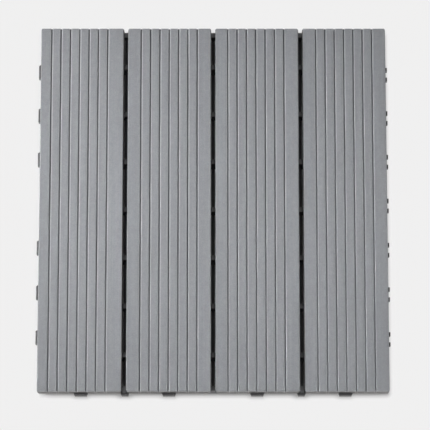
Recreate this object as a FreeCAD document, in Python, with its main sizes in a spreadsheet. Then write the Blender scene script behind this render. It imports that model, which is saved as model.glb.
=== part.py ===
import FreeCAD, Part
import math
import os
import re
import Sketcher

# Interlocking deck tile: four grooved composite slats screwed from below to a moulded base
# grid. Along two edges the grid has tabs, and along the other two it has rings that take the
# tabs of the next tile. X runs across the slats, Y along them, and the floor is Z = 0, under
# the middle of the tile. Lengths are millimetres.

# The sizes that can be set, each with what it measures
SIZES = [
    ("slat_count", 4, "slats side by side"),
    ("slat_length", 303.0, "length of a slat"),
    ("slat_width", 68.4, "width of a slat"),
    ("slat_thickness", 12.0, "thickness of a slat"),
    ("slat_gap", 3.4, "gap between two slats"),
    ("slat_corner", 1.0, "bevel of a slat's corners, seen from above"),
    ("slat_edge", 0.8, "rounding of the long edges that are walked on"),
    ("groove_count", 7, "grooves in a slat"),
    ("groove_pitch", 7.7, "distance from one groove to the next"),
    ("groove_width", 1.2, "width of a groove below its rims"),
    ("groove_floor", 1.0, "width of a groove at its floor"),
    ("groove_depth", 1.8, "depth of a groove"),
    ("groove_shoulder", 0.3, "bevel along both rims of a groove"),
    ("groove_shift_1", -2.35, "how far the first slat's grooves sit off its middle"),
    ("groove_shift_2", -0.3, "the same on the second slat"),
    ("groove_shift_3", -0.75, "the same on the third slat"),
    ("groove_shift_4", -0.1, "the same on the fourth slat"),
    ("base_height", 10.0, "height of the base under the slats"),
    ("foot_height", 1.6, "height of the walls and ribs above the floor"),
    ("foot_width", 6.0, "width of a square foot"),
    ("foot_top", 5.0, "height to which the feet stand up inside the lattice"),
    ("wall", 2.0, "thickness of the outer wall of the base"),
    ("wall_inset", 1.5, "how far the wall stays under the slats' outer edges"),
    ("wall_corner", 3.0, "bevel of the base's corners"),
    ("bar_count", 7, "cross bars"),
    ("bar_pitch", 40.2, "distance from one cross bar to the next"),
    ("bar_width", 4.0, "width of a cross bar"),
    ("rib_width", 2.0, "width of a lengthwise rib"),
    ("gap_rib_drop", 4.5, "how far the rib below a gap lies under the slats"),
    ("lug_rise", 4.5, "how far a spacer stands up between two slats"),
    ("lug_clearance", 0.2, "play between a spacer and a slat, each side"),
    ("boss_width", 11.0, "width of a square screw boss"),
    ("boss_bar", 2, "cross bars from the middle to a row of screws"),
    ("head_diameter", 7.2, "diameter of a screw head"),
    ("head_height", 2.4, "height of a screw head"),
    ("head_bevel", 0.6, "bevel round the outside of a screw head"),
    ("head_clearance", 0.5, "play round a screw head"),
    ("head_seat", 4.5, "plastic between the screw head and the slat"),
    ("screw_diameter", 3.8, "diameter of a screw's shank"),
    ("screw_bite", 8.6, "length of screw inside the slat"),
    ("screw_point", 2.6, "length of a screw's point"),
    ("screw_clearance", 0.1, "play round a screw's shank"),
    ("drive_width", 4.0, "span of the cross recess in a screw head"),
    ("drive_slot", 1.0, "width of one slot of the recess"),
    ("drive_depth", 1.4, "depth of the recess"),
    ("clip_reach", 2.0, "how far tabs and rings stand out past the slats"),
    ("clip_count", 7, "places for clips along a side"),
    ("side_clip_pitch", 37.1, "distance between the clips along a side"),
    ("side_clip_shift", 5.0, "how far those clips sit towards the far end"),
    ("end_clip_pitch", 35.6, "distance between the clips along an end"),
    ("side_tab_length", 12.0, "length of a tab on the side"),
    ("end_tab_length", 11.4, "length of a tab on the near end"),
    ("gap_tab_length", 6.9, "length of a tab in front of a gap"),
    ("tab_bevel", 0.9, "how much each end of a tab draws in towards its tip"),
    ("tab_rise", 5.0, "how far a tab stands up beside the slat"),
    ("tab_clearance", 0.3, "play between a tab and the slat beside it"),
    ("ring_length", 11.4, "length of a ring"),
    ("ring_height", 4.6, "height of a ring"),
    ("ring_floor", 2.7, "height of a ring's underside above the floor"),
    ("ring_web", 1.2, "thickness of the web that closes a ring from below"),
    ("ring_recess", 0.9, "how far the web stays behind the ring's tips"),
    ("tongue_root", 4.6, "width of a tab's tongue next to the wall"),
    ("tongue_tip", 5.6, "width of the tongue at its tip"),
    ("tongue_setback", 0.9, "how far the tongue stays behind the front of its tab"),
    ("join_clearance", 0.3, "play between the tongue and the ring of the next tile"),
]

# What follows from those sizes, each with its formula
PLACES = [
    ("slat_pitch", "slat_width + slat_gap"),
    ("tile_half_width", "(slat_count * slat_width + (slat_count - 1) * slat_gap) / 2"),
    ("tile_half_length", "slat_length / 2"),
    ("wall_half_width", "tile_half_width - wall_inset"),
    ("wall_half_length", "tile_half_length - wall_inset"),
    ("reach_half_width", "tile_half_width + clip_reach"),
    ("reach_half_length", "tile_half_length + clip_reach"),
    ("first_bar", "-(bar_count - 1) / 2 * bar_pitch"),
    ("foot_rows", "(bar_count + 1) / 2"),
    ("first_gap", "-(slat_count - 2) / 2 * slat_pitch"),
    ("clip_span", "(clip_count - 1) / 2"),
    ("end_span", "floor((tile_half_width - wall_corner - end_tab_length / 2) / end_clip_pitch)"),
    ("rib_pitch", "slat_pitch / 3"),
    ("screw_row", "boss_bar * bar_pitch"),
    ("web_height", "base_height - foot_height"),
    ("head_top", "base_height - head_seat"),
    ("head_well", "head_diameter + 2 * head_clearance"),
    ("shank_bore", "screw_diameter + 2 * screw_clearance"),
    ("tab_floor", "ring_floor + ring_height + join_clearance"),
    ("tongue_floor", "ring_floor + ring_web + join_clearance"),
    ("mouth_outer", "tongue_root + 2 * join_clearance"),
    ("mouth_inner", "tongue_tip + 2 * join_clearance"),
]

# The two rows of screws, near and far
SCREW_ROWS = ["-screw_row", "screw_row"]

doc = FreeCAD.newDocument("deck_tile")


def make_sheet(name, rows):
    """Write one sheet: what a value is, and the value under its own alias."""
    sheet = doc.addObject("Spreadsheet::Sheet", name)
    for row, (alias, note, content) in enumerate(rows, start=1):
        sheet.set(f"A{row}", note)
        sheet.set(f"B{row}", content)
        sheet.setAlias(f"B{row}", alias)
    doc.recompute()
    return sheet


def full_names(text):
    """Put the sheet's name before each alias of a formula."""
    homes = {row[0]: "Sizes." for row in SIZES} | {row[0]: "Places." for row in PLACES} | {"floor": ""}
    return re.sub(r"[a-z][a-z_0-9]*", lambda word: homes[word[0]] + word[0], text)


sizes = make_sheet("Sizes", [(name, note, str(number)) for name, number, note in SIZES])
places = make_sheet("Places", [(name, name, "=" + full_names(text)) for name, text in PLACES])


def value(text):
    """What a formula gives now, as a number."""
    return float(sizes.evalExpression(full_names(text)))


def bind(item, prop, text):
    """Tie one property of an object to a formula."""
    item.setExpression(prop, full_names(text))


def new_body(name):
    body = doc.addObject("PartDesign::Body", name)
    body.Label = name
    return body


def new_sketch(body, name, plane="XY_Plane", level="0"):
    """An empty sketch on one origin plane of a body, moved out to a level."""
    sketch = body.newObject("Sketcher::SketchObject", name)
    origin = [item for item in body.Origin.OriginFeatures if item.Role == plane][0]
    sketch.AttachmentSupport = [(origin, "")]
    sketch.MapMode = "FlatFace"
    bind(sketch, ".AttachmentOffset.Base.z", level)
    return sketch


def tie(sketch, rules):
    """Add constraints to a sketch at once, and bind each value to its formula."""
    first = sketch.ConstraintCount
    sketch.addConstraint([Sketcher.Constraint(*rule, value(text)) for rule, text in rules])
    for number, (rule, text) in enumerate(rules):
        sketch.setExpression(f"Constraints[{first + number}]", full_names(text))


def draw_outline(sketch, corners):
    """Draw a closed loop of straight lines whose corners follow formulas."""
    spots = [FreeCAD.Vector(value(x), value(y), 0) for x, y in corners]
    nexts = spots[1:] + spots[:1]
    first = sketch.GeometryCount
    sketch.addGeometry([Part.LineSegment(*ends) for ends in zip(spots, nexts)])
    joints = []
    rules = []
    for number, (x, y) in enumerate(corners):
        after = first + (number + 1) % len(corners)
        joints.append(Sketcher.Constraint("Coincident", first + number, 2, after, 1))
        rules.append((("DistanceX", -1, 1, first + number, 1), x))
        rules.append((("DistanceY", -1, 1, first + number, 1), y))
    sketch.addConstraint(joints)
    tie(sketch, rules)


def draw_box(sketch, left, right, low, high):
    draw_outline(sketch, [(left, low), (right, low), (right, high), (left, high)])


def draw_circle(sketch, x, y, diameter):
    """Draw a circle whose centre and diameter follow formulas."""
    middle = FreeCAD.Vector(value(x), value(y), 0)
    round_line = Part.Circle(middle, FreeCAD.Vector(0, 0, 1), value(diameter) / 2)
    number = sketch.addGeometry(round_line)
    tie(sketch, [
        (("DistanceX", -1, 1, number, 3), x),
        (("DistanceY", -1, 1, number, 3), y),
        (("Diameter", number), diameter),
    ])


def pad(body, sketch, height):
    """Raise a sketch by a height, upwards."""
    feature = body.newObject("PartDesign::Pad", sketch.Name + "_pad")
    feature.Profile = sketch
    feature.Refine = False
    bind(feature, "Length", height)
    doc.recompute()
    return feature


def cut_up(body, sketch, depth):
    """Cut a sketch into the body, upwards, and stop if it took nothing away."""
    before = body.Shape.Volume
    feature = body.newObject("PartDesign::Pocket", sketch.Name + "_cut")
    feature.Profile = sketch
    feature.Refine = False
    feature.Reversed = True
    bind(feature, "Length", depth)
    doc.recompute()
    if body.Shape.Volume >= before:
        raise RuntimeError(f"{feature.Name} cut nothing")
    return feature


def repeat(body, features, axis, pitch, times):
    """Repeat features at a pitch, along an axis of the first one's sketch."""
    pattern = body.newObject("PartDesign::LinearPattern", features[0].Name + "_row")
    pattern.Originals = features
    pattern.Refine = False
    pattern.Direction = (features[0].Profile[0], [axis])
    bind(pattern, "Length", f"({times} - 1) * {pitch}")
    bind(pattern, "Occurrences", times)
    body.Tip = pattern
    doc.recompute()
    return pattern


def edges_where(shape, test):
    """Names of the edges whose two ends pass a test."""
    names = []
    for number, edge in enumerate(shape.Edges, start=1):
        ends = [vertex.Point for vertex in edge.Vertexes]
        if len(ends) == 2 and test(*ends):
            names.append(f"Edge{number}")
    return names


def dress_edges(body, kind, name, test, size):
    """Round or bevel the edges of a body that pass a test."""
    dress = body.newObject(f"PartDesign::{kind}", name)
    dress.Base = (dress.BaseFeature, edges_where(dress.BaseFeature.Shape, test))
    bind(dress, "Radius" if kind == "Fillet" else "Size", size)
    doc.recompute()
    return dress


def upright(one, other):
    return math.hypot(one.x - other.x, one.y - other.y) < 0.001


def slat_middle(number):
    return f"({number} - (slat_count - 1) / 2) * slat_pitch"


def make_slat(number):
    """One composite slat: a plain board, bevelled, then grooved along its whole length."""
    body = new_body(f"slat_{number + 1}")
    board = new_sketch(body, f"board_{number + 1}")
    draw_box(board, "-slat_width / 2", "slat_width / 2", "-slat_length / 2", "slat_length / 2")
    pad(body, board, "slat_thickness")
    dress_edges(body, "Chamfer", f"corners_{number + 1}", upright, "slat_corner")
    top = value("slat_thickness")
    long_edges = lambda one, other: min(one.z, other.z) > top - 0.001 and abs(one.x - other.x) < 0.001
    dress_edges(body, "Fillet", f"worn_edges_{number + 1}", long_edges, "slat_edge")
    groove = new_sketch(body, f"groove_{number + 1}", "XZ_Plane")
    middle = f"groove_shift_{number + 1} - (groove_count - 1) / 2 * groove_pitch"
    rim = "(groove_width / 2 + groove_shoulder)"
    draw_outline(groove, [
        (f"{middle} - groove_floor / 2", "slat_thickness - groove_depth"),
        (f"{middle} + groove_floor / 2", "slat_thickness - groove_depth"),
        (f"{middle} + groove_width / 2", "slat_thickness - groove_shoulder"),
        (f"{middle} + {rim}", "slat_thickness"),
        (f"{middle} - {rim}", "slat_thickness"),
        (f"{middle} - groove_width / 2", "slat_thickness - groove_shoulder"),
    ])
    before = body.Shape.Volume
    cut = body.newObject("PartDesign::Pocket", f"groove_{number + 1}_cut")
    cut.Profile = groove
    cut.Type = "ThroughAll"
    cut.Midplane = True
    doc.recompute()
    if body.Shape.Volume >= before:
        raise RuntimeError("a groove cut nothing")
    repeat(body, [cut], "H_Axis", "groove_pitch", "groove_count")
    pilots = new_sketch(body, f"pilots_{number + 1}")
    for y in SCREW_ROWS:
        draw_circle(pilots, "0", y, "shank_bore")
    cut_up(body, pilots, "screw_bite + screw_clearance")
    bind(body, ".Placement.Base.x", slat_middle(number))
    bind(body, ".Placement.Base.z", "base_height")
    return body


def cell_sides(slats):
    """Where the openings begin and end across the base, in three groups of like openings."""
    below_slats = []
    for number in range(slats):
        middle = slat_middle(number)
        half = "(rib_pitch / 2 - rib_width / 2)"
        below_slats.append((f"{middle} - {half}", f"{middle} + {half}"))
    below_gaps = []
    for number in range(slats - 1):
        middle = f"first_gap + {number} * slat_pitch"
        half = "(rib_pitch - rib_width / 2)"
        below_gaps.append((f"{middle} - {half}", f"{middle} + {half}"))
    first_rib = f"{slat_middle(0)} - rib_pitch / 2 - rib_width / 2"
    at_sides = [("wall - wall_half_width", first_rib), (f"-({first_rib})", "wall_half_width - wall")]
    return {"slat_cells": below_slats, "gap_cells": below_gaps, "side_cells": at_sides}


def make_openings(slats):
    """What the lattice leaves open between its ribs and cross bars, and the screws' bores."""
    body = new_body("openings")
    wall_end = "wall_half_length - wall"
    for name, sides in cell_sides(slats).items():
        row = new_sketch(body, f"{name}_row", level="foot_height")
        ends = new_sketch(body, f"{name}_ends", level="foot_height")
        for left, right in sides:
            draw_box(row, left, right, "first_bar + bar_width / 2", "first_bar + bar_pitch - bar_width / 2")
            draw_box(ends, left, right, f"-({wall_end})", "first_bar - bar_width / 2")
            draw_box(ends, left, right, "-first_bar + bar_width / 2", wall_end)
        repeat(body, [pad(body, row, "web_height")], "V_Axis", "bar_pitch", "bar_count - 1")
        pad(body, ends, "web_height")
    return body


def make_plate():
    """The outline of the base, from which the lattice is cut."""
    body = new_body("plate")
    plate = new_sketch(body, "plate_outline", level="foot_height")
    draw_box(plate, "-wall_half_width", "wall_half_width", "-wall_half_length", "wall_half_length")
    pad(body, plate, "web_height")
    dress_edges(body, "Chamfer", "wall_corners", upright, "wall_corner")
    return body


def make_spacers(slats):
    """Blocks between the slats, on each cross bar and end wall. Two reach a tab of the near end."""
    body = new_body("spacers")
    lugs = new_sketch(body, "bar_spacers", level="base_height - gap_rib_drop")
    ends = new_sketch(body, "end_spacers", level="base_height - gap_rib_drop")
    half = "(slat_gap / 2 - lug_clearance)"
    low = "first_bar - bar_width / 2"
    high = "first_bar + bar_width / 2"
    inner_end = "wall_half_length - bar_width"
    for number in range(slats - 1):
        x = f"first_gap + {number} * slat_pitch"
        draw_box(lugs, f"{x} - {half}", f"{x} + {half}", low, high)
        draw_box(ends, f"{x} - {half}", f"{x} + {half}", inner_end, "wall_half_length")
        draw_box(ends, f"{x} - {half}", f"{x} + {half}", "-wall_half_length", f"-({inner_end})")
    repeat(body, [pad(body, lugs, "gap_rib_drop + lug_rise")], "V_Axis", "bar_pitch", "bar_count")
    pad(body, ends, "gap_rib_drop + lug_rise")
    necks = new_sketch(body, "spacer_necks", level="base_height")
    front = "tab_bevel - reach_half_length"
    for x in ("first_gap", "-first_gap"):
        draw_box(necks, f"{x} - {half}", f"{x} + {half}", front, f"-({inner_end})")
    pad(body, necks, "lug_rise")
    return body


def make_gap_ribs():
    """Low ribs along the middle of each gap, deep below the slats."""
    body = new_body("gap_ribs")
    rib = new_sketch(body, "gap_rib", level="foot_height")
    end = "(wall_half_length - wall / 2)"
    draw_box(rib, "first_gap - rib_width / 2", "first_gap + rib_width / 2", f"-{end}", end)
    repeat(body, [pad(body, rib, "web_height - gap_rib_drop")], "H_Axis", "slat_pitch", "slat_count - 1")
    return body


def make_feet(slats):
    """Square feet under every other cross bar, below each gap and each slat's middle."""
    body = new_body("feet")
    low = new_sketch(body, "foot_row")
    half = "foot_width / 2"
    for column in range(2 * slats - 1):
        x = f"{slat_middle(0)} + {column} / 2 * slat_pitch"
        draw_box(low, f"{x} - {half}", f"{x} + {half}", f"first_bar - {half}", f"first_bar + {half}")
    repeat(body, [pad(body, low, "foot_top")], "V_Axis", "2 * bar_pitch", "foot_rows")
    return body


def make_bosses():
    """Square bosses for the screws, on the cross bars, at each slat's middle."""
    body = new_body("bosses")
    block = new_sketch(body, "boss", level="foot_height")
    half = "boss_width / 2"
    x = slat_middle(0)
    for y in SCREW_ROWS:
        draw_box(block, f"{x} - {half}", f"{x} + {half}", f"{y} - {half}", f"{y} + {half}")
    repeat(body, [pad(body, block, "web_height")], "H_Axis", "slat_pitch", "slat_count")
    return body


def make_bores():
    """The screws' bores as solids: a square well for the head, a round bore for the shank."""
    body = new_body("bores")
    heads = new_sketch(body, "head_wells")
    shanks = new_sketch(body, "shank_bores")
    half = "head_well / 2"
    x = slat_middle(0)
    for y in SCREW_ROWS:
        draw_box(heads, f"{x} - {half}", f"{x} + {half}", f"{y} - {half}", f"{y} + {half}")
        draw_circle(shanks, x, y, "shank_bore")
    bores = [pad(body, heads, "head_top"), pad(body, shanks, "base_height + lug_rise")]
    repeat(body, bores, "H_Axis", "slat_pitch", "slat_count")
    return body


def cut_from(name, base, tool):
    """One object taken out of another."""
    cut = doc.addObject("Part::Cut", name)
    cut.Label = name
    cut.Base = base
    cut.Tool = tool
    cut.Refine = False
    doc.recompute()
    return cut


def join(name, members):
    """Several objects joined to one."""
    whole = doc.addObject("Part::MultiFuse", name)
    whole.Label = name
    whole.Shapes = members
    doc.recompute()
    return whole


def clip_corners(along, half_root, half_tip, inner, outer):
    """Corners of a clip that stands out towards negative Y and changes width on its way."""
    return [
        (f"{along} - ({half_root})", f"-({inner})"),
        (f"{along} - ({half_tip})", f"-({outer})"),
        (f"{along} + {half_tip}", f"-({outer})"),
        (f"{along} + {half_root}", f"-({inner})"),
    ]


def turned(corners, turn):
    """The same corners with X and Y changed round, for the clips of a side."""
    return [(y, x) for x, y in corners] if turn else corners


def add_tabs(body, name, row, edge, reach, turn):
    """A row of tabs: a foot in the wall, a rise beside the slat, a tongue below."""
    first, length, pitch, times = row
    foot = new_sketch(body, f"{name}_tab", level="tab_floor")
    rise = new_sketch(body, f"{name}_tab_rise", level="base_height")
    tongue = new_sketch(body, f"{name}_tongue", level="tongue_floor")
    root = f"{edge} - wall_inset - wall / 2"
    tip = f"{length} / 2 - tab_bevel"
    draw_outline(foot, turned(clip_corners(first, f"{length} / 2", tip, root, reach), turn))
    beside = f"{edge} + tab_clearance"
    draw_outline(rise, turned(clip_corners(first, f"{length} / 2", tip, beside, reach), turn))
    spread = ("tongue_root / 2", "tongue_tip / 2")
    tongue_reach = f"{reach} - tongue_setback"
    draw_outline(tongue, turned(clip_corners(first, *spread, root, tongue_reach), turn))
    steps = [
        pad(body, foot, "base_height - tab_floor"),
        pad(body, rise, "tab_rise"),
        pad(body, tongue, "tab_floor - tongue_floor"),
    ]
    repeat(body, steps, "V_Axis" if turn else "H_Axis", pitch, times)


def add_rings(body, name, row, edge, reach, turn):
    """A row of rings: two ears, a mouth that widens inwards between them, and a web below."""
    first, pitch, times = row
    ears = new_sketch(body, f"{name}_ring", level="ring_floor")
    web = new_sketch(body, f"{name}_web", level="ring_floor")
    root = f"{edge} - wall_inset - wall / 2"
    outer = "ring_length / 2"
    for side in ("-", "+"):
        corners = [
            (f"{first} {side} {outer}", root),
            (f"{first} {side} {outer}", reach),
            (f"{first} {side} mouth_outer / 2", reach),
            (f"{first} {side} mouth_inner / 2", root),
        ]
        draw_outline(ears, turned(corners, turn))
    half = f"({outer} - ring_recess)"
    corners = [
        (f"{first} - {half}", root),
        (f"{first} + {half}", root),
        (f"{first} + {half}", f"{reach} - ring_recess"),
        (f"{first} - {half}", f"{reach} - ring_recess"),
    ]
    draw_outline(web, turned(corners, turn))
    steps = [pad(body, ears, "ring_height"), pad(body, web, "ring_web")]
    repeat(body, steps, "V_Axis" if turn else "H_Axis", pitch, times)


def make_clips():
    """Tabs along the left side and the near end, rings along the right side and the far end."""
    body = new_body("clips")
    side = ("tile_half_width", "reach_half_width", True)
    end = ("tile_half_length", "reach_half_length", False)
    first_side = "side_clip_shift - clip_span * side_clip_pitch"
    first_end = "-end_span * end_clip_pitch"
    low_row = (first_side, "side_tab_length", "side_clip_pitch", "clip_span")
    high_row = ("side_clip_shift + side_clip_pitch", "side_tab_length", "side_clip_pitch", "clip_span")
    add_tabs(body, "low_side", low_row, *side)
    add_tabs(body, "high_side", high_row, *side)
    wide_row = (first_end, "end_tab_length", "2 * end_clip_pitch", "end_span + 1")
    apart = "2 * (end_span - 1) * end_clip_pitch"
    narrow_row = (f"{first_end} + end_clip_pitch", "gap_tab_length", apart, "2")
    add_tabs(body, "end", wide_row, *end)
    add_tabs(body, "gap", narrow_row, *end)
    add_rings(body, "side", (first_side, "side_clip_pitch", "clip_count"), *side)
    add_rings(body, "end", (first_end, "end_clip_pitch", "2 * end_span + 1"), *end)
    return body


def make_base(slats):
    """The moulded base grid: one piece, joined from its lattice and all that stands on it."""
    ribbed = cut_from("ribbed_plate", make_plate(), make_openings(slats))
    frame = cut_from("lattice", join("bossed_plate", [ribbed, make_bosses()]), make_bores())
    return join("base_grid", [frame, make_gap_ribs(), make_spacers(slats), make_feet(slats), make_clips()])


def make_screws():
    """All screws, two in each slat: turned round their own axis, with a cross recess below."""
    body = new_body("slat_screws")
    half = new_sketch(body, "screw_half", "XZ_Plane")
    tip = "(head_height + head_seat + screw_bite)"
    draw_outline(half, [
        ("0", "0"),
        ("head_diameter / 2 - head_bevel", "0"),
        ("head_diameter / 2", "head_bevel"),
        ("head_diameter / 2", "head_height"),
        ("screw_diameter / 2", "head_height"),
        ("screw_diameter / 2", f"{tip} - screw_point"),
        ("0", tip),
    ])
    turning = body.newObject("PartDesign::Revolution", "screw_turning")
    turning.Profile = half
    turning.ReferenceAxis = (half, ["V_Axis"])
    turning.Angle = 360
    turning.Refine = False
    doc.recompute()
    recess = new_sketch(body, "screw_recess")
    arm = "drive_width / 2"
    side = "drive_slot / 2"
    draw_outline(recess, [
        (f"-{arm}", f"-{side}"), (f"-{side}", f"-{side}"), (f"-{side}", f"-{arm}"),
        (side, f"-{arm}"), (side, f"-{side}"), (arm, f"-{side}"),
        (arm, side), (side, side), (side, arm),
        (f"-{side}", arm), (f"-{side}", side), (f"-{arm}", side),
    ])
    cross = cut_up(body, recess, "drive_depth")
    rows = repeat(body, [turning, cross], "H_Axis", "slat_pitch", "slat_count")
    rows.Direction2 = (recess, ["V_Axis"])
    bind(rows, "Length2", "2 * screw_row")
    rows.Occurrences2 = len(SCREW_ROWS)
    bind(body, ".Placement.Base.x", slat_middle(0))
    bind(body, ".Placement.Base.y", SCREW_ROWS[0])
    bind(body, ".Placement.Base.z", "head_top - head_height")
    return body


slat_total = round(value("slat_count"))
pieces = [make_slat(number) for number in range(slat_total)]
pieces.append(make_base(slat_total))
pieces.append(make_screws())
doc.recompute()

for item in doc.Objects:
    if "Invalid" in item.State or "Error" in item.State:
        raise RuntimeError(f"{item.Name} is {item.State}")
for piece in pieces:
    if piece.Shape.isNull() or not piece.Shape.isValid():
        raise RuntimeError(f"{piece.Label} has no valid shape")

os.makedirs("parts", exist_ok=True)
for piece in pieces:
    piece.Shape.exportStep(f"parts/{piece.Label}.step")
    box = piece.Shape.BoundBox
    print(f"{piece.Label}: {len(piece.Shape.Solids)} solid(s), {piece.Shape.Volume / 1000:.1f} cm3,",
          f"{box.XLength:.1f} x {box.YLength:.1f} x {box.ZLength:.1f} mm, low {box.ZMin:.2f}")
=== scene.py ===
# %% [markdown]
# # An interlocking deck tile
# Four grooved grey slats of wood-plastic composite lie side by side on a dark moulded base. The
# construction comes ready made, as one mesh for each real piece, and stays where it is. What this
# lesson adds is the finish of each piece, a plain studio and the photographer's camera.

# %% Load the tile
import bpy
import math
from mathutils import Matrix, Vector

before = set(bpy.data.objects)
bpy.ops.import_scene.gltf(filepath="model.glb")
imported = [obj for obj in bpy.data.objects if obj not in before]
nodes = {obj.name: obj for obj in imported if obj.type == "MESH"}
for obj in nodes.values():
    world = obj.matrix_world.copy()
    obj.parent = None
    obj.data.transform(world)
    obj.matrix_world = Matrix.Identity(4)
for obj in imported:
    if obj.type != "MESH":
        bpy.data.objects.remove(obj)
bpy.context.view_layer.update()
scene = bpy.context.scene
print("pieces:", sorted(nodes))

# %% [markdown]
# ## Helpers for finishes
# A finish is a small network of nodes, each with inputs and outputs. It could be drawn by hand in
# the node editor, but written down it can be made again and shared by several pieces. Written in
# full it gets long, so helpers do the wiring. The first ones start an empty finish, add one node
# to it and put the finish on a piece. A node's input takes either a plain value or the output of
# another node, and add_node tells the two apart.

# %% Start a finish and add nodes to it
def new_material(name):
    """An empty material: one Principled shader, joined to the surface."""
    material = bpy.data.materials.new(name)
    material.use_nodes = True
    tree = material.node_tree
    tree.nodes.clear()
    output = tree.nodes.new("ShaderNodeOutputMaterial")
    shader = tree.nodes.new("ShaderNodeBsdfPrincipled")
    tree.links.new(shader.outputs["BSDF"], output.inputs["Surface"])
    return material, tree, shader


def add_node(tree, kind, inputs=None, **settings):
    """One node with its settings, and with values or other outputs on its inputs."""
    node = tree.nodes.new(kind)
    for name, value in settings.items():
        setattr(node, name, value)
    for name, value in (inputs or {}).items():
        if isinstance(value, bpy.types.NodeSocket):
            tree.links.new(value, node.inputs[name])
        else:
            node.inputs[name].default_value = value
    return node


def dress(piece, material):
    """Give a piece one finish all over."""
    piece.data.materials.clear()
    piece.data.materials.append(material)
    print(piece.name, "wears", material.name, "of", len(material.node_tree.nodes), "nodes")


# %% [markdown]
# Values are worked out inside the network too, for each point of the surface. A node does one sum
# at a time, so a product of four shades is three nodes in a row.

# %% Sums
def maths(tree, operation, *values):
    """One sum, such as ADD or ROUND, of values or outputs."""
    return add_node(tree, "ShaderNodeMath", dict(enumerate(values)), operation=operation).outputs[0]


def times(tree, product, *others):
    """Two or more values or outputs multiplied."""
    for other in others:
        product = maths(tree, "MULTIPLY", product, other)
    return product


print("a sum node takes up to three values")

# %% [markdown]
# The helper spread brings a value from one range into another, as a dial does. Over a narrow range
# it makes a mask: 0 on one side of a line, 1 on the other, and a soft step between. A band is two
# such steps, one up and one down. Masks could be painted by hand, but these follow the
# construction to a tenth of a millimetre. A noise seldom leaves the middle of its range, so
# spread starts from that part unless it is told otherwise.

# %% Ranges and masks
NOISE_LOW = 0.3
NOISE_HIGH = 0.7


def spread(tree, value, low, high, start=NOISE_LOW, end=NOISE_HIGH):
    """Low where the value is at start, high where it is at end, and even between them."""
    return add_node(tree, "ShaderNodeMapRange", {
        "Value": value,
        "From Min": start,
        "From Max": end,
        "To Min": low,
        "To Max": high,
    }).outputs["Result"]


def band(tree, value, rise, fall):
    """1 between two slopes, 0 outside them. Each slope is given by where it starts and ends."""
    return times(tree, spread(tree, value, 0, 1, *rise), spread(tree, value, 1, 0, *fall))


print("a noise is taken to run from", NOISE_LOW, "to", NOISE_HIGH)

# %% [markdown]
# All patterns and masks read the Object coordinates. Here they are metres in the tile's own frame,
# so they are the same on every piece, and nothing slides when the camera moves. The direction of
# the surface tells tops, sides and ends apart.

# %% Where a point lies and which way it faces
def along(tree, axis):
    """The position along one axis, in metres."""
    point = add_node(tree, "ShaderNodeTexCoord").outputs["Object"]
    return add_node(tree, "ShaderNodeSeparateXYZ", {"Vector": point}).outputs[axis]


def turned(tree, axis):
    """The direction of the surface along one axis, from -1 to 1."""
    normal = add_node(tree, "ShaderNodeNewGeometry").outputs["Normal"]
    return add_node(tree, "ShaderNodeSeparateXYZ", {"Vector": normal}).outputs[axis]


def facing(tree, axis):
    """How squarely the surface faces an axis, either way, from 0 to 1."""
    return maths(tree, "ABSOLUTE", turned(tree, axis))


# %% [markdown]
# Nearly every mark on the tile starts as a noise, which is a cloudy pattern without end. Its scale
# counts blotches for each metre, so 100 is one for each centimetre. Squeezing the coordinates
# along an axis draws the blotches out that way, and blotches drawn out far enough are lines.
# A shift moves the whole pattern, which makes the next piece look like another one.

# %% A noise that can be stretched
def noise(tree, scale, stretch=(1, 1, 1), detail=3, shift=0.0):
    """A cloudy pattern. A small stretch along an axis draws it out that way."""
    point = add_node(tree, "ShaderNodeTexCoord").outputs["Object"]
    squeezed = add_node(tree, "ShaderNodeMapping", {
        "Vector": point,
        "Location": (shift, shift, shift),
        "Scale": stretch,
    }).outputs["Vector"]
    return add_node(tree, "ShaderNodeTexNoise", {
        "Vector": squeezed,
        "Scale": scale,
        "Detail": detail,
    }).outputs["Fac"]


def mark_width(scale):
    """How wide the blotches of a noise are, in millimetres."""
    return round(1000 / scale, 1)


print("a scale of 100 gives marks", mark_width(100), "mm wide")

# %% [markdown]
# The last helpers work on colours. One puts a colour over another where a mask says so, and one
# makes a colour lighter or darker. The third turns a pattern into relief. It only bends the light
# and leaves the mesh alone, which is enough for marks of a tenth of a millimetre.

# %% Colours and relief
def mix_colours(tree, mask, under, over):
    """Under where the mask is 0, over where it is 1."""
    inputs = {0: mask, 6: under, 7: over}
    return add_node(tree, "ShaderNodeMix", inputs, data_type="RGBA").outputs[2]


def tint(tree, colour, strength):
    """A colour made lighter or darker."""
    inputs = {0: colour, "Scale": strength}
    return add_node(tree, "ShaderNodeVectorMath", inputs, operation="SCALE").outputs["Vector"]


def relief(tree, pattern, strength, depth, **under):
    """Fine relief from a pattern, on top of an earlier one if Normal is given."""
    inputs = {"Height": pattern, "Strength": strength, "Distance": depth, **under}
    return add_node(tree, "ShaderNodeBump", inputs).outputs["Normal"]


print("colours are linear values, from 0 for black to 1 for white")

# %% [markdown]
# ## Wood-plastic composite
# The slats are sawdust and polyethylene, pressed through a die and brushed. That leaves a matt,
# slightly bluish grey. Its patterns have four sizes: wide soft clouds, mottle of a few
# millimetres, fine lines that run the way the slat came out of the die, and the dust's own grain.
# A photograph of the material could give them too, but noise stays sharp at any distance and
# needs no file. Each slat gets its own shift, so that no two are cut from the same cloud.

# %% The composite's colours and patterns
COMPOSITE_GREY = (0.3265, 0.3360, 0.3535, 1.0)
RAW_END = (0.262, 0.254, 0.250, 1.0)
# The next colour is a painted highlight, on the left-facing rounded edges and along the upper
# arris.
HIGHLIGHT_GREY = (0.500, 0.503, 0.520, 1.0)
# The next colour is painted shade, for the sides that face a gap.
SHADED_SIDE = (0.095, 0.095, 0.100, 1.0)

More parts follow.
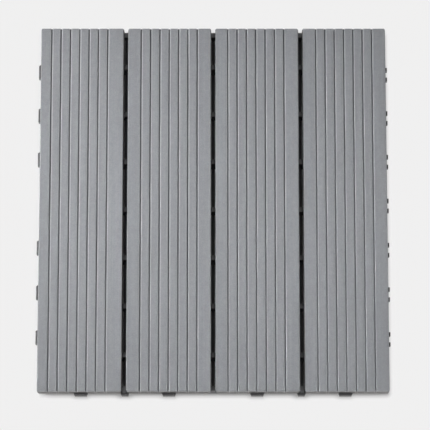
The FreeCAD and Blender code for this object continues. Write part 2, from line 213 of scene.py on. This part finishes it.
# Each pattern: its scale, its stretch, its detail, and how far it swings the shade.
COMPOSITE_PATTERNS = {
    "clouds": (22, (1, 0.5, 1), 4, 0.025),
    "brushing": (700, (1, 0.02, 1), 2, 0.03),
    "mottle": (330, (1, 0.7, 1), 3, 0.04),
    "grain": (1100, (1, 1, 1), 2, 0.07),
}


def pressed_and_brushed(tree, tone, shift):
    """The composite's patterns by name, and the shade that they give together."""
    patterns, shade = {}, tone
    for name, (scale, stretch, detail, swing) in COMPOSITE_PATTERNS.items():
        patterns[name] = noise(tree, scale, stretch, detail, shift)
        shade = times(tree, shade, spread(tree, patterns[name], 1 - swing, 1 + swing))
    return patterns, shade


for pattern_name, pattern_facts in COMPOSITE_PATTERNS.items():
    print(pattern_name, "about", mark_width(pattern_facts[0]), "mm wide")

# %% [markdown]
# ## The grooves
# Each slat has seven narrow grooves along its whole length. The finish has to know where they are,
# because it paints shade in them and painted highlights on the land beside them. Marking the mesh's
# faces would work, but the mesh isn't to be touched. Counting in steps of one groove's spacing, and
# rounding to the nearest whole step, finds them from the position alone.

# %% Find the nearest groove
GROOVES = 7
GROOVE_PITCH = 0.0077


def groove_distance(tree, first_groove):
    """How far a point lies to the right of the nearest groove's middle, in metres."""
    from_first = maths(tree, "SUBTRACT", along(tree, "X"), first_groove)
    count = maths(tree, "DIVIDE", from_first, GROOVE_PITCH)
    whole = {"Value": maths(tree, "ROUND", count), "Max": GROOVES - 1}
    nearest = add_node(tree, "ShaderNodeClamp", whole).outputs["Result"]
    return times(tree, maths(tree, "SUBTRACT", count, nearest), GROOVE_PITCH)


print(GROOVES, "grooves span", round(1000 * (GROOVES - 1) * GROOVE_PITCH, 1), "mm of a slat")

# %% [markdown]
# The land beside a groove is painted lighter than the rest, in two strips of painted highlight. One
# lies on the rounded rim on both sides. The other lies just right of it: it is the fine bright line
# beside each groove in the photograph. That line is strongest at the far left corner and nearly
# gone at the near right one, so its strength follows the diagonal. A stronger lamp would draw it
# too, but it would also bleach the land.

# %% Painted highlight strips beside the grooves
# The strips below are painted highlights beside each groove.
RIM_HIGHLIGHT_STRIP = (0.0004, 0.0011)
RIM_HIGHLIGHT = 0.32
SIDE_HIGHLIGHT_STRIP = (0.00095, 0.0015)
SIDE_HIGHLIGHT = (0.05, 0.32)
SIDE_HIGHLIGHT_DIAGONAL = (-0.22, 0.22)
STRIP_SOFTNESS = 0.0001


def diagonal(tree):
    """The way from the near right corner, about -0.3, to the far left one, about 0.3."""
    return maths(tree, "SUBTRACT", along(tree, "Y"), along(tree, "X"))


def strip(tree, distance, start, end):
    """A strip of land between two distances from a groove's middle, from 0 to 1."""
    rise = (start - STRIP_SOFTNESS, start + STRIP_SOFTNESS)
    fall = (end - STRIP_SOFTNESS, end + STRIP_SOFTNESS)
    return band(tree, distance, rise, fall)


def highlight_strips(tree, to_right, apart):
    """The painted highlight on the land beside a groove: 1, or more on the strips."""
    rim_highlight = times(tree, strip(tree, apart, *RIM_HIGHLIGHT_STRIP), RIM_HIGHLIGHT)
    side_highlight_level = spread(tree, diagonal(tree), *SIDE_HIGHLIGHT, *SIDE_HIGHLIGHT_DIAGONAL)
    side_highlight = times(tree, strip(tree, to_right, *SIDE_HIGHLIGHT_STRIP), side_highlight_level)
    return maths(tree, "ADD", maths(tree, "ADD", side_highlight, rim_highlight), 1.0)


# The strip printed here is a painted highlight.
print("worn strip:", round(1000 * (SIDE_HIGHLIGHT_STRIP[1] - SIDE_HIGHLIGHT_STRIP[0]), 2), "mm wide")

# %% [markdown]
# The grooves get painted shade, darkest at the far left, where the light rakes across them. It
# could be a colour of its own, but a shade below 1 on the composite's grey keeps the two related.
# The mask comes from the height, from the groove's floor up to its rim.

# %% Painted shade in the grooves
SLAT_TOP = 0.022
GROOVE_FLOOR = 0.0202
# The next three set the painted shade in the grooves.
GROOVE_SHADE_HEIGHTS = (GROOVE_FLOOR + 0.0002, SLAT_TOP - 0.0006)
GROOVE_SHADE_LEVELS = (0.90, 0.52)
GROOVE_SHADE_DIAGONAL = (-0.22, 0.26)


def groove_shade(tree):
    """Painted shade: 1 on the land and less in a groove."""
    groove_shade_level = spread(tree, diagonal(tree), *GROOVE_SHADE_LEVELS, *GROOVE_SHADE_DIAGONAL)
    in_groove = spread(tree, along(tree, "Z"), 1, 0, *GROOVE_SHADE_HEIGHTS)
    return spread(tree, in_groove, 1, groove_shade_level, 0, 1)


print("grooves:", round(1000 * (SLAT_TOP - GROOVE_FLOOR), 1), "mm deep")

# %% [markdown]
# ## Edges, gaps and ends
# The rounded edges that face left get a painted highlight, and so does the outermost one on the
# right, at half strength. The sides that face a gap between two slats get painted shade. How far
# that shade comes up over the edge differs from slat to slat, so each slat says from which
# direction on it starts. Both masks come from the direction of the surface, and the second one
# leaves out the grooves' own sides.

# %% Painted highlight on edges and painted shade on sides
ROUNDED = ((0.5, 0.6), (0.9, 0.97))
LEFT_OR_RIGHT = (-0.1, 0.1)
# The outermost right edge gets half of the painted highlight.
OUTER_EDGE = (0.1408, 0.1414)
OUTER_HIGHLIGHT = 0.5
SIDE_SOFTNESS = 0.12
CLEAR_OF_GROOVE = (0.0012, 0.0016)


def edge_highlight(tree):
    """The rounded edges that get a painted highlight, from 0 to 1."""
    rounded = band(tree, facing(tree, "Z"), *ROUNDED)
    faces_left = spread(tree, turned(tree, "X"), 1, 0, *LEFT_OR_RIGHT)
    outermost = spread(tree, along(tree, "X"), 0, OUTER_HIGHLIGHT, *OUTER_EDGE)
    return times(tree, rounded, maths(tree, "MAXIMUM", faces_left, outermost))


def side_shade(tree, apart, dark_left, dark_right):
    """The painted shade on the sides that face a gap, from 0 to 1, each from a direction of its own
    on.
    """
    right = (dark_right - SIDE_SOFTNESS, dark_right + SIDE_SOFTNESS)
    left = (-dark_left - SIDE_SOFTNESS, -dark_left + SIDE_SOFTNESS)
    on_right = spread(tree, turned(tree, "X"), 0, 1, *right)
    on_left = spread(tree, turned(tree, "X"), 1, 0, *left)
    beside = spread(tree, apart, 0, 1, *CLEAR_OF_GROOVE)
    return times(tree, maths(tree, "MAXIMUM", on_right, on_left), beside)


# The dark sides are painted shade.
print("sides are dirty from", CLEAR_OF_GROOVE[1] * 1000, "mm beside a groove's middle on")

# %% [markdown]
# A slat is sawn to length. Its ends show the raw mix, a little darker and warmer than the brushed
# face, with a painted highlight along the upper arris. The end faces could have a material slot of
# their own, but their direction finds them just as well. At the far end the top is a touch darker
# over its last three centimetres, as in the photograph.

# %% Sawn ends
END_TURN = (0.8, 0.9)
ARRIS_HEIGHTS = (SLAT_TOP - 0.0036, SLAT_TOP - 0.0020)
# A painted highlight along the upper arris.
ARRIS_HIGHLIGHT = 0.85
FAR_SHADE = 0.965
FAR_FADE = (0.122, 0.150)


def sawn_end(tree):
    """The colour of a sawn end, with a painted highlight along its upper arris."""
    at_arris = spread(tree, along(tree, "Z"), 0, ARRIS_HIGHLIGHT, *ARRIS_HEIGHTS)
    return mix_colours(tree, at_arris, RAW_END, HIGHLIGHT_GREY)


def far_end_shade(tree):
    """The shade of a slat along its length: 1, or a touch less at the far end."""
    return spread(tree, along(tree, "Y"), 1, FAR_SHADE, *FAR_FADE)


# The band printed here is a painted highlight.
print("rubbed band below an arris:", round(1000 * (SLAT_TOP - ARRIS_HEIGHTS[0]), 1), "mm")

# %% [markdown]
# Now the parts come together in this order: the grey mix, the painted highlight on the edges,
# painted shade on the sides and in the grooves, and the saw cut last. The shade of all patterns,
# with the painted highlight beside the grooves, goes over everything. Clouds also change how matt
# the surface is, and the brushing and the grain give it relief.

# %% The composite finish
COMPOSITE_ROUGHNESS = (0.58, 0.72)
COMPOSITE_GLOSS = 0.3
BRUSHING_RELIEF = (0.25, 0.0001)
GRAIN_RELIEF = (0.25, 0.00008)


def composite(name, tone, shift, first_groove, dark_left, dark_right):
    """One slat's finish, with its own tone, patterns, grooves and painted shade on its sides."""
    material, tree, shader = new_material(name)
    patterns, shade = pressed_and_brushed(tree, tone, shift)
    to_right = groove_distance(tree, first_groove)
    apart = maths(tree, "ABSOLUTE", to_right)
    # Painted shade on the gap sides and in the grooves, painted highlights on the edges and beside
    # the grooves.
    sides = side_shade(tree, apart, dark_left, dark_right)
    colour = mix_colours(tree, edge_highlight(tree), COMPOSITE_GREY, HIGHLIGHT_GREY)
    colour = mix_colours(tree, sides, colour, SHADED_SIDE)
    colour = tint(tree, colour, groove_shade(tree))
    at_end = spread(tree, facing(tree, "Y"), 0, 1, *END_TURN)
    colour = mix_colours(tree, at_end, colour, sawn_end(tree))
    shade = times(tree, shade, far_end_shade(tree), highlight_strips(tree, to_right, apart))
    brushed = relief(tree, patterns["brushing"], *BRUSHING_RELIEF)
    grained = relief(tree, patterns["grain"], *GRAIN_RELIEF, Normal=brushed)
    matt = spread(tree, patterns["clouds"], *COMPOSITE_ROUGHNESS)
    tree.links.new(tint(tree, colour, shade), shader.inputs["Base Color"])
    tree.links.new(matt, shader.inputs["Roughness"])
    tree.links.new(grained, shader.inputs["Normal"])
    shader.inputs["Specular IOR Level"].default_value = COMPOSITE_GLOSS
    return material


print("composite roughness:", COMPOSITE_ROUGHNESS)

# %% [markdown]
# ## Four slats of one batch
# The slats are cut from one section, but each leaves the saw with its grooves a little to the left,
# and with its own tone. Both are written down slat by slat, with the direction from which on each
# side has painted shade. A value that no surface reaches leaves that side without painted shade:
# the two outer sides of the tile, and the left one of the second slat, which the light gets at.

# %% Dress the slats
SLAT_PITCH = 0.0718
BATCH_STEP = 1.7
# A side given this value gets no painted shade.
UNSHADED = 2.0

# Each slat: its tone, its grooves' shift, and where the painted shade on its left and right side
# begins.
SLATS = (
    (1.025, -0.00235, UNSHADED, 0.2),
    (0.975, -0.00030, UNSHADED, 0.85),
    (1.000, -0.00075, 0.6, 0.85),
    (1.020, -0.00010, 0.3, UNSHADED),
)

for number, (tone, groove_shift, dark_left, dark_right) in enumerate(SLATS, 1):
    middle = (number - (len(SLATS) + 1) / 2) * SLAT_PITCH
    first_groove = middle + groove_shift - (GROOVES - 1) / 2 * GROOVE_PITCH
    batch = BATCH_STEP * number
    finish = composite(f"composite_{number}", tone, batch, first_groove, dark_left, dark_right)
    dress(nodes[f"slat_{number}"], finish)
    print("    first groove at", round(1000 * first_groove, 2), "mm")

# %% [markdown]
# ## Moulded base plastic
# The base is recycled polypropylene, nearly black. A spark-eroded mould leaves a fine even grain,
# so the gloss is broken up and the edges show as soft grey lines. One noise drives the colour, the
# roughness and the relief together, as one texture does in the mould. A much wider noise stands for
# the flow of the melt. What lies flat in the gaps is painted lighter, a painted light where little
# light reaches, and most of it on the spacers, which stand up between the slats.

# %% The plastic's grain and painted light in the gaps
PLASTIC_BLACK = (0.085, 0.085, 0.088)
GRAIN_SCALE = 2600
GRAIN_SWING = (0.9, 1.1)
FLOW_SCALE = 60
FLOW_SWING = (0.85, 1.15)
INSIDE_WALL = (0.136, 0.138)
# Painted light on what lies flat between the slats.
GAP_LIGHT_AMOUNT = (0.35, 2.3)
GAP_LIGHT_HEIGHTS = (0.008, 0.014)


def gap_light(tree, across):
    """Painted light on what lies flat between the slats: 1 or more."""
    flat = times(tree, facing(tree, "Z"), spread(tree, across, 1, 0, *INSIDE_WALL))
    lift = times(tree, flat, spread(tree, along(tree, "Z"), *GAP_LIGHT_AMOUNT, *GAP_LIGHT_HEIGHTS))
    return maths(tree, "ADD", lift, 1.0)


print("the plastic's grain is about", mark_width(GRAIN_SCALE), "mm wide")

# %% [markdown]
# The clips stand out past the wall on all four sides. In the photograph those at the left, where
# the light comes from, are grey with light tips, and all the others are nearly black. Lamps alone
# can't part pieces two millimetres deep so sharply, so the finish paints it: painted shade past the
# wall, except on the left, and a painted highlight on top of the tips there.

# %% Painted shade on the clips and a painted highlight on the tips
WALL_HALF_WIDTH = 0.1419
WALL_HALF_LENGTH = 0.1515
WALL_EDGE = 0.0003
# Painted shade on the clips that stand away from the light.
CLIP_SHADE = 0.36
LEFT_SIDE = (-WALL_HALF_WIDTH, 0.0005 - WALL_HALF_WIDTH)
# A painted highlight on top of the left tips.
TIP_HIGHLIGHT = 3.0
TIP_EDGE = (-0.0016 - WALL_HALF_WIDTH, -0.0012 - WALL_HALF_WIDTH)
TOP_TURN = (0.6, 0.8)


def shaded_clips(tree, across):
    """Painted shade on the clips that stand away from the light: 1, or less past the wall."""
    past_side = maths(tree, "SUBTRACT", across, WALL_HALF_WIDTH)
    past_end = maths(tree, "SUBTRACT", maths(tree, "ABSOLUTE", along(tree, "Y")), WALL_HALF_LENGTH)
    past = maths(tree, "MAXIMUM", past_side, past_end)
    clip_shade = spread(tree, along(tree, "X"), 1, CLIP_SHADE, *LEFT_SIDE)
    return spread(tree, past, 1, clip_shade, 0, WALL_EDGE)


def tip_highlight(tree):
    """Painted highlight on the left side's tabs: 1, or more on top of their tips."""
    tip = spread(tree, along(tree, "X"), 1, 0, *TIP_EDGE)
    lit_tip = times(tree, tip, spread(tree, facing(tree, "Z"), 0, TIP_HIGHLIGHT, *TOP_TURN))
    return maths(tree, "ADD", lit_tip, 1.0)


print("clips away from the light have", CLIP_SHADE, "of the plastic's brightness")

# %% [markdown]
# The base's finish multiplies these shades, so that each of them can be changed by itself. The
# grain goes into the colour, the roughness and the relief.

# %% Dress the base
PLASTIC_ROUGHNESS = (0.42, 0.56)
PLASTIC_RELIEF = (0.3, 0.00006)


def moulded_plastic(name):
    """The base's finish: grain, flow, painted light in the gaps, painted shade on the clips and a
    painted highlight on the tips.
    """
    material, tree, shader = new_material(name)
    grain = noise(tree, GRAIN_SCALE, detail=2)
    flow = noise(tree, FLOW_SCALE)
    across = maths(tree, "ABSOLUTE", along(tree, "X"))
    shade = times(tree, spread(tree, flow, *FLOW_SWING), spread(tree, grain, *GRAIN_SWING))
    # Painted light on the flat faces in the gaps.
    shade = times(tree, shade, gap_light(tree, across))
    # Painted shade on the clips, and a painted highlight on the left tips.
    shade = times(tree, shade, shaded_clips(tree, across), tip_highlight(tree))
    tree.links.new(tint(tree, PLASTIC_BLACK, shade), shader.inputs["Base Color"])
    tree.links.new(spread(tree, grain, *PLASTIC_ROUGHNESS), shader.inputs["Roughness"])
    tree.links.new(relief(tree, grain, *PLASTIC_RELIEF), shader.inputs["Normal"])
    return material


dress(nodes["base_grid"], moulded_plastic("moulded_plastic"))

# %% [markdown]
# ## Zinc-plated screws
# The screws show only from below. Zinc plating is a thin bright metal with a faint cloudy
# passivation. One noise makes both its colour and its roughness wander a little, which reads as
# haze. A separate clear coat would do it too, but nobody sees the difference at this size.

# %% Dress the screws
ZINC = (0.62, 0.62, 0.60)
HAZE_SCALE = 900
HAZE_SWING = (0.85, 1.1)
ZINC_ROUGHNESS = (0.25, 0.42)


def zinc_plating(name):
    """The screws' finish: bright metal with a haze."""
    material, tree, shader = new_material(name)
    haze = noise(tree, HAZE_SCALE)
    shader.inputs["Metallic"].default_value = 1.0
    tree.links.new(tint(tree, ZINC, spread(tree, haze, *HAZE_SWING)), shader.inputs["Base Color"])
    tree.links.new(spread(tree, haze, *ZINC_ROUGHNESS), shader.inputs["Roughness"])
    return material


dress(nodes["slat_screws"], zinc_plating("zinc_plating"))

# %% [markdown]
# ## A plain studio
# The floor is one pale matt sheet under the tile. Its colour, and not extra light, makes the
# background nearly white, so the tile keeps its own greys. A curved backdrop, as small products
# often get, isn't needed, because the camera looks down and sees no horizon. One square made from
# four corners, far larger than the view, is enough. It isn't part of the tile.

# %% The floor
FLOOR_HALF = 4.0
FLOOR_GREY = (0.872, 0.869, 0.869, 1.0)
FLOOR_ROUGHNESS = 0.9

floor_mesh = bpy.data.meshes.new("studio_floor")
corners = [(x * FLOOR_HALF, y * FLOOR_HALF, 0) for x, y in ((-1, -1), (1, -1), (1, 1), (-1, 1))]
floor_mesh.from_pydata(corners, [], [(0, 1, 2, 3)])
floor = bpy.data.objects.new("studio_floor", floor_mesh)
scene.collection.objects.link(floor)
floor_material, floor_tree, floor_shader = new_material("studio_floor")
floor_shader.inputs["Base Color"].default_value = FLOOR_GREY
floor_shader.inputs["Roughness"].default_value = FLOOR_ROUGHNESS
floor_shader.inputs["Specular IOR Level"].default_value = 0.0
floor_mesh.materials.append(floor_material)
print("floor:", 2 * FLOOR_HALF, "m wide")

# %% [markdown]
# In the photograph the background is whitened to within a few millimetres of the tile, as in most
# catalogue pictures, so only a thin soft shadow is left at its foot. The floor does the same. Its
# plain grey gives way to a glow of the same level, by how far a point lies outside a rectangle
# under the tile: no glow inside it, full glow past the thin shadow. The rectangle isn't centred,
# because the light comes from the left, and on that side the glow sets in at once.

# %% How far the floor lies outside the shadow
SHADOW_LEFT = -0.1395
SHADOW_RIGHT = 0.1400
SHADOW_NEAR = -0.1488
SHADOW_FAR = 0.1515
LEFT_HASTE = 3.0


def larger(tree, first, second):
    """The larger of two values, and never less than 0."""
    return maths(tree, "MAXIMUM", maths(tree, "MAXIMUM", first, second), 0.0)


def distance_outside(tree):
    """How far a point of the floor lies outside the shadow's rectangle, in metres."""
    past_left = times(tree, maths(tree, "SUBTRACT", SHADOW_LEFT, along(tree, "X")), LEFT_HASTE)
    past_right = maths(tree, "SUBTRACT", along(tree, "X"), SHADOW_RIGHT)
    past_near = maths(tree, "SUBTRACT", SHADOW_NEAR, along(tree, "Y"))
    past_far = maths(tree, "SUBTRACT", along(tree, "Y"), SHADOW_FAR)
    way = add_node(tree, "ShaderNodeCombineXYZ", {
        "X": larger(tree, past_left, past_right),
        "Y": larger(tree, past_near, past_far),
    }).outputs["Vector"]
    return add_node(tree, "ShaderNodeVectorMath", {0: way}, operation="LENGTH").outputs["Value"]


print("shadow's rectangle:", round(1000 * (SHADOW_RIGHT - SHADOW_LEFT), 1), "x",
      round(1000 * (SHADOW_FAR - SHADOW_NEAR), 1), "mm")

# %% [markdown]
# The near end's tabs throw a small shadow of their own on the floor. They stand at even steps,
# three on each side of the middle, so they are found by counting, as the grooves are: the first
# three limits below are in steps. In front of each tab the glow starts a little later.

# %% The tabs' own shadow
CLIP_PITCH = 0.0356
TAB_HALF = (0.10, 0.24)
PAST_MIDDLE = (0.4, 0.6)
PAST_LAST_TAB = (3.4, 3.6)
IN_FRONT = (-0.1520, -0.1500)
TAB_SHADOW = 0.0014


def near_tabs(tree):
    """Where the floor lies in front of a tab of the near end, from 0 to 1."""
    count = maths(tree, "DIVIDE", along(tree, "X"), CLIP_PITCH)
    off = maths(tree, "ABSOLUTE", maths(tree, "SUBTRACT", count, maths(tree, "ROUND", count)))
    has_tab = band(tree, maths(tree, "ABSOLUTE", count), PAST_MIDDLE, PAST_LAST_TAB)
    in_front = spread(tree, along(tree, "Y"), 1, 0, *IN_FRONT)
    return times(tree, spread(tree, off, 1, 0, *TAB_HALF), has_tab, in_front)


print("a tab's shadow reaches", round(1000 * TAB_SHADOW, 1), "mm further")

# %% [markdown]
# The glow is for the eye only. The camera sees it, and so do rays from mirror-like and clear
# surfaces, but it throws no light on the tile. For all other rays the floor stays plain grey.

# %% The whitened background
SHADOW_REACH = 0.0060

tab_shadow = times(floor_tree, near_tabs(floor_tree), TAB_SHADOW)
away = maths(floor_tree, "SUBTRACT", distance_outside(floor_tree), tab_shadow)
reach = {"Value": away, "From Max": SHADOW_REACH}
share = add_node(floor_tree, "ShaderNodeMapRange", reach, interpolation_type="SMOOTHSTEP")
path = add_node(floor_tree, "ShaderNodeLightPath")
seen = path.outputs["Is Camera Ray"]
for kind in ("Is Glossy Ray", "Is Transmission Ray"):
    seen = maths(floor_tree, "MAXIMUM", seen, path.outputs[kind])
glow = add_node(floor_tree, "ShaderNodeEmission", {"Color": FLOOR_GREY})
whitened = add_node(floor_tree, "ShaderNodeMixShader", {
    "Fac": times(floor_tree, seen, share.outputs["Result"]),
    1: floor_shader.outputs["BSDF"],
    2: glow.outputs["Emission"],
})
floor_surface = floor_tree.nodes["Material Output"].inputs["Surface"]
floor_tree.links.new(whitened.outputs["Shader"], floor_surface)
print("full white from", round(1000 * SHADOW_REACH, 1), "mm outside the shadow's rectangle")

# %% [markdown]
# ## Light
# A white surface under light of level 1 renders as it is written. The sky gives a good third of
# that from everywhere, which keeps the shadows soft. It could do all the work, but then the
# grooves would hardly show.

# %% The sky
SKY_LEVEL = 0.38

sky = bpy.data.worlds.new("studio_sky")
sky.use_nodes = True
background = sky.node_tree.nodes["Background"]
background.inputs["Color"].default_value = (1.0, 1.0, 1.0, 1.0)
background.inputs["Strength"].default_value = SKY_LEVEL
scene.world = sky
print("sky level:", SKY_LEVEL)

# %% [markdown]
# Three square lamps give the rest. A narrow one from high on the left lights the far left of the
# tile more than the near right. A low one from the left rakes across the grooves and draws their
# edges. A wide one from the near right fills the end faces, which would be too dark without it.

# %% The lamps
def softbox(name, place, target, side, beam, watts):
    """A square lamp aimed at a point. A narrow beam works like a grid in front of it."""
    lamp = bpy.data.lights.new(name, "AREA")
    lamp.size = side
    lamp.spread = math.radians(beam)
    lamp.energy = watts
    way = Vector(place) - Vector(target)
    holder = bpy.data.objects.new(name, lamp)
    holder.location = place
    holder.rotation_euler = way.to_track_quat("Z", "Y").to_euler()
    scene.collection.objects.link(holder)
    print(name, "stands", round(way.length, 2), "m from the tile")


# Each lamp: its name, its place, its target, its side, its beam in degrees, and its power.
LAMPS = (
    ("key_left", (-1.0, 0.35, 1.5), (-0.028, -0.011, 0.022), 0.36, 18, 0.266),
    ("rake_left", (-0.75, 0.22, 0.32), (-0.05, 0.02, 0.022), 0.3, 180, 2.3),
    ("fill_near", (0.75, -0.75, 0.7), (0.0, 0.0, 0.022), 0.5, 180, 1.4),
)

for lamp_facts in LAMPS:
    softbox(*lamp_facts)

# %% [markdown]
# ## The camera
# The photograph looks almost straight down from far away, with a long lens. A camera could be
# placed by eye, but then the tile's sides would lean the wrong way. The angle between them gives
# the distance, and the strip of the near end faces gives the tilt. Both were worked out once from
# the corners of the slats, and are written here as real values.

# %% Place the camera
IMAGE_SIDE = 430
SENSOR = 36.0
TILT = math.radians(12.8)
DISTANCE = 2.393
PIXELS_PER_METRE = 1228.0
AIM = Vector((0.0015, -0.00638, 0.022))

lens = bpy.data.cameras.new("camera")
lens.sensor_width = SENSOR
lens.lens = PIXELS_PER_METRE * DISTANCE / IMAGE_SIDE * SENSOR
camera = bpy.data.objects.new("camera", lens)
camera.location = AIM + DISTANCE * Vector((0, -math.sin(TILT), math.cos(TILT)))
camera.rotation_euler = (TILT, 0, 0)
scene.collection.objects.link(camera)
scene.camera = camera
print("lens:", round(lens.lens, 1), "mm")

# %% [markdown]
# ## Colour and finish
# The Standard view keeps the colours as written.

# %% Finish
scene.view_settings.view_transform = "Standard"
print("view:", scene.view_settings.view_transform)
